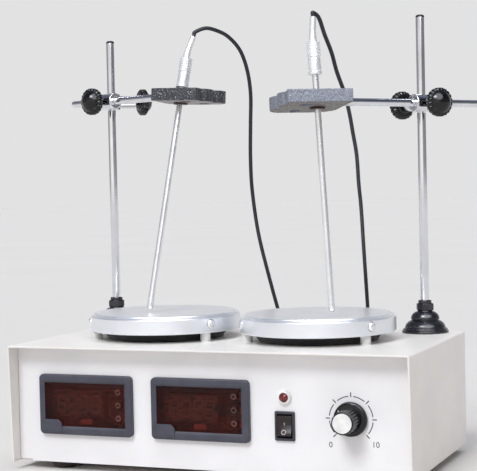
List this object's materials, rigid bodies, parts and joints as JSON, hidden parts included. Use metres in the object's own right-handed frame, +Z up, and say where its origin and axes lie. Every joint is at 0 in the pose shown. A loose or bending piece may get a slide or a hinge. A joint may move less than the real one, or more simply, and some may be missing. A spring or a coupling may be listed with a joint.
{
  "type": "heated magnetic stirrer",
  "caption": "Bench magnetic stirrer with two heated plates, panel meters, speed knob, clamp stands and temperature probes in cast holders.",
  "frame": {"origin": "middle of the case footprint on the bench, at the underside of the feet", "axes": "+X to the right as seen from the front, +Y to the back, +Z up; the front panel faces -Y"},
  "size_m": [0.3661, 0.2205, 0.3485],
  "materials": {
    "ivory_paint": "satin powder coat",
    "front_paint": "satin powder coat",
    "black_rubber": "matt moulded rubber",
    "zinc_screw": "zinc plated",
    "slate_plastic": "fine matt",
    "red_window": "smoked red, glossy",
    "board_green": "circuit board",
    "white_plastic": "glossy",
    "red_lens": "glossy lens",
    "switch_grey": "fine matt",
    "rocker_brown": "satin",
    "black_gloss": "glossy bakelite",
    "bright_steel": "turned",
    "bright_aluminium": "turned and lightly brushed",
    "black_paint": "matt black",
    "ceramic_white": "matt",
    "copper_yellow": "tape",
    "magnet_grey": "nickel plated",
    "chrome_plate": "bright chrome",
    "cast_dark": "rough cast, dark",
    "brown_rubber": "matt",
    "cable_black": "smooth PVC"
  },
  "bodies": {
    "case": {"case_cover": "ivory_paint", "chassis": "front_paint", "rubber_feet": "black_rubber", "case_screws": "zinc_screw", "meter_case_left": "slate_plastic", "meter_case_right": "slate_plastic", "meter_windows": "red_window", "meter_boards": "board_green", "pilot_bezel": "white_plastic", "pilot_lens": "red_lens", "switch_frame": "switch_grey", "speed_pot": "zinc_screw", "heater_plate_left": "bright_aluminium", "heater_plate_right": "bright_aluminium", "heat_shields": "black_paint", "plate_spacers": "ceramic_white", "plate_screws": "bright_steel", "drive_motors": "zinc_screw", "motor_brackets": "zinc_screw", "control_board": "board_green", "transformer": "copper_yellow", "mains_inlet": "black_gloss", "fuse_holder": "black_gloss", "sensor_sockets": "bright_steel", "stand_feet": "black_gloss", "cable_plugs": "switch_grey", "cable_left_4": "cable_black", "cable_right_4": "cable_black"},
    "rocker": {"switch_rocker": "rocker_brown"},
    "knob": {"speed_knob": "black_gloss", "knob_cap": "white_plastic", "speed_shaft": "bright_steel"},
    "rotor_left": {"magnet_rotor_left": "bright_aluminium", "magnets_left": "magnet_grey"},
    "stand_left": {"support_rod_left": "chrome_plate"},
    "boss_left": {"boss_head_left": "chrome_plate", "cable_left_3": "cable_black"},
    "rod_clamp_left": {"rod_knob_left": "black_gloss"},
    "arm_clamp_left": {"arm_knob_left": "black_gloss"},
    "arm_left": {"cross_rod_left": "chrome_plate", "probe_holder_left": "cast_dark", "probe_bush_left": "brown_rubber", "cable_left_2": "cable_black"},
    "sensor_left": {"probe_left": "bright_steel", "probe_plug_left": "chrome_plate", "cable_left_1": "cable_black"},
    "rotor_right": {"magnet_rotor_right": "bright_aluminium", "magnets_right": "magnet_grey"},
    "stand_right": {"support_rod_right": "chrome_plate"},
    "boss_right": {"boss_head_right": "chrome_plate", "cable_right_3": "cable_black"},
    "rod_clamp_right": {"rod_knob_right": "black_gloss"},
    "arm_clamp_right": {"arm_knob_right": "black_gloss"},
    "arm_right": {"cross_rod_right": "chrome_plate", "probe_holder_right": "cast_dark", "probe_bush_right": "brown_rubber", "cable_right_2": "cable_black"},
    "sensor_right": {"probe_right": "bright_steel", "probe_plug_right": "chrome_plate", "cable_right_1": "cable_black"}
  },
  "joints": [
    {"name": "rocker_tilt", "type": "hinge", "parent": "case", "child": "rocker", "pos_m": [0.0627, -0.0695, 0.0418], "axis": [1, 0, 0], "range_deg": [0, 20]},
    {"name": "speed_turn", "type": "hinge", "parent": "case", "child": "knob", "pos_m": [0.1128, -0.085, 0.0489], "axis": [0, 1, 0], "range_deg": [-81.5, 188.5]},
    {"name": "rotor_spin_left", "type": "hinge", "parent": "case", "child": "rotor_left", "pos_m": [-0.0645, 0.003, 0.08], "axis": [0, 0, 1], "continuous": true},
    {"name": "rod_swivel_left", "type": "hinge", "parent": "case", "child": "stand_left", "pos_m": [-0.141, 0.069, 0.11], "axis": [0, 0, 1], "range_deg": [-25, 25], "deforming": ["cable_left_4"]},
    {"name": "boss_slide_left", "type": "slide", "parent": "stand_left", "child": "boss_left", "axis": [0, 0, 1], "range_m": [-0.0015, 0.04], "deforming": ["cable_left_3"]},
    {"name": "rod_knob_turn_left", "type": "hinge", "parent": "boss_left", "child": "rod_clamp_left", "pos_m": [-0.12661, 0.08289, 0.2906], "axis": [0.7193, 0.6947, 0], "range_deg": [-180, 0]},
    {"name": "arm_knob_turn_left", "type": "hinge", "parent": "boss_left", "child": "arm_clamp_left", "pos_m": [-0.14762, 0.05071, 0.2906], "axis": [-0.2756, -0.9613, 0], "range_deg": [-180, 0]},
    {"name": "arm_slide_left", "type": "slide", "parent": "boss_left", "child": "arm_left", "axis": [0.9135, -0.4067, 0], "range_m": [-0.045, 0.025], "deforming": ["cable_left_2"]},
    {"name": "probe_slide_left", "type": "slide", "parent": "arm_left", "child": "sensor_left", "axis": [0.0841, 0.2166, 0.9726], "range_m": [0, 0.05], "deforming": ["cable_left_1"]},
    {"name": "rotor_spin_right", "type": "hinge", "parent": "case", "child": "rotor_right", "pos_m": [0.0645, 0.003, 0.08], "axis": [0, 0, 1], "continuous": true},
    {"name": "rod_swivel_right", "type": "hinge", "parent": "case", "child": "stand_right", "pos_m": [0.132, 0.069, 0.11], "axis": [0, 0, 1], "range_deg": [-25, 25], "deforming": ["cable_right_4"]},
    {"name": "boss_slide_right", "type": "slide", "parent": "stand_right", "child": "boss_right", "axis": [0, 0, 1], "range_m": [-0.0015, 0.04], "deforming": ["cable_right_3"]},
    {"name": "rod_knob_turn_right", "type": "hinge", "parent": "boss_right", "child": "rod_clamp_right", "pos_m": [0.11624, 0.08131, 0.2783], "axis": [-0.788, 0.6157, 0], "range_deg": [-180, 0]},
    {"name": "arm_knob_turn_right", "type": "hinge", "parent": "boss_right", "child": "arm_clamp_right", "pos_m": [0.14731, 0.057, 0.2783], "axis": [0.7431, -0.6691, 0], "range_deg": [-180, 0]},
    {"name": "arm_slide_right", "type": "slide", "parent": "boss_right", "child": "arm_right", "axis": [-0.5592, -0.829, 0], "range_m": [-0.045, 0.03], "deforming": ["cable_right_2"]},
    {"name": "probe_slide_right", "type": "slide", "parent": "arm_right", "child": "sensor_right", "axis": [-0.0685, 0.048, 0.9965], "range_m": [0, 0.05], "deforming": ["cable_right_1"]}
  ]
}
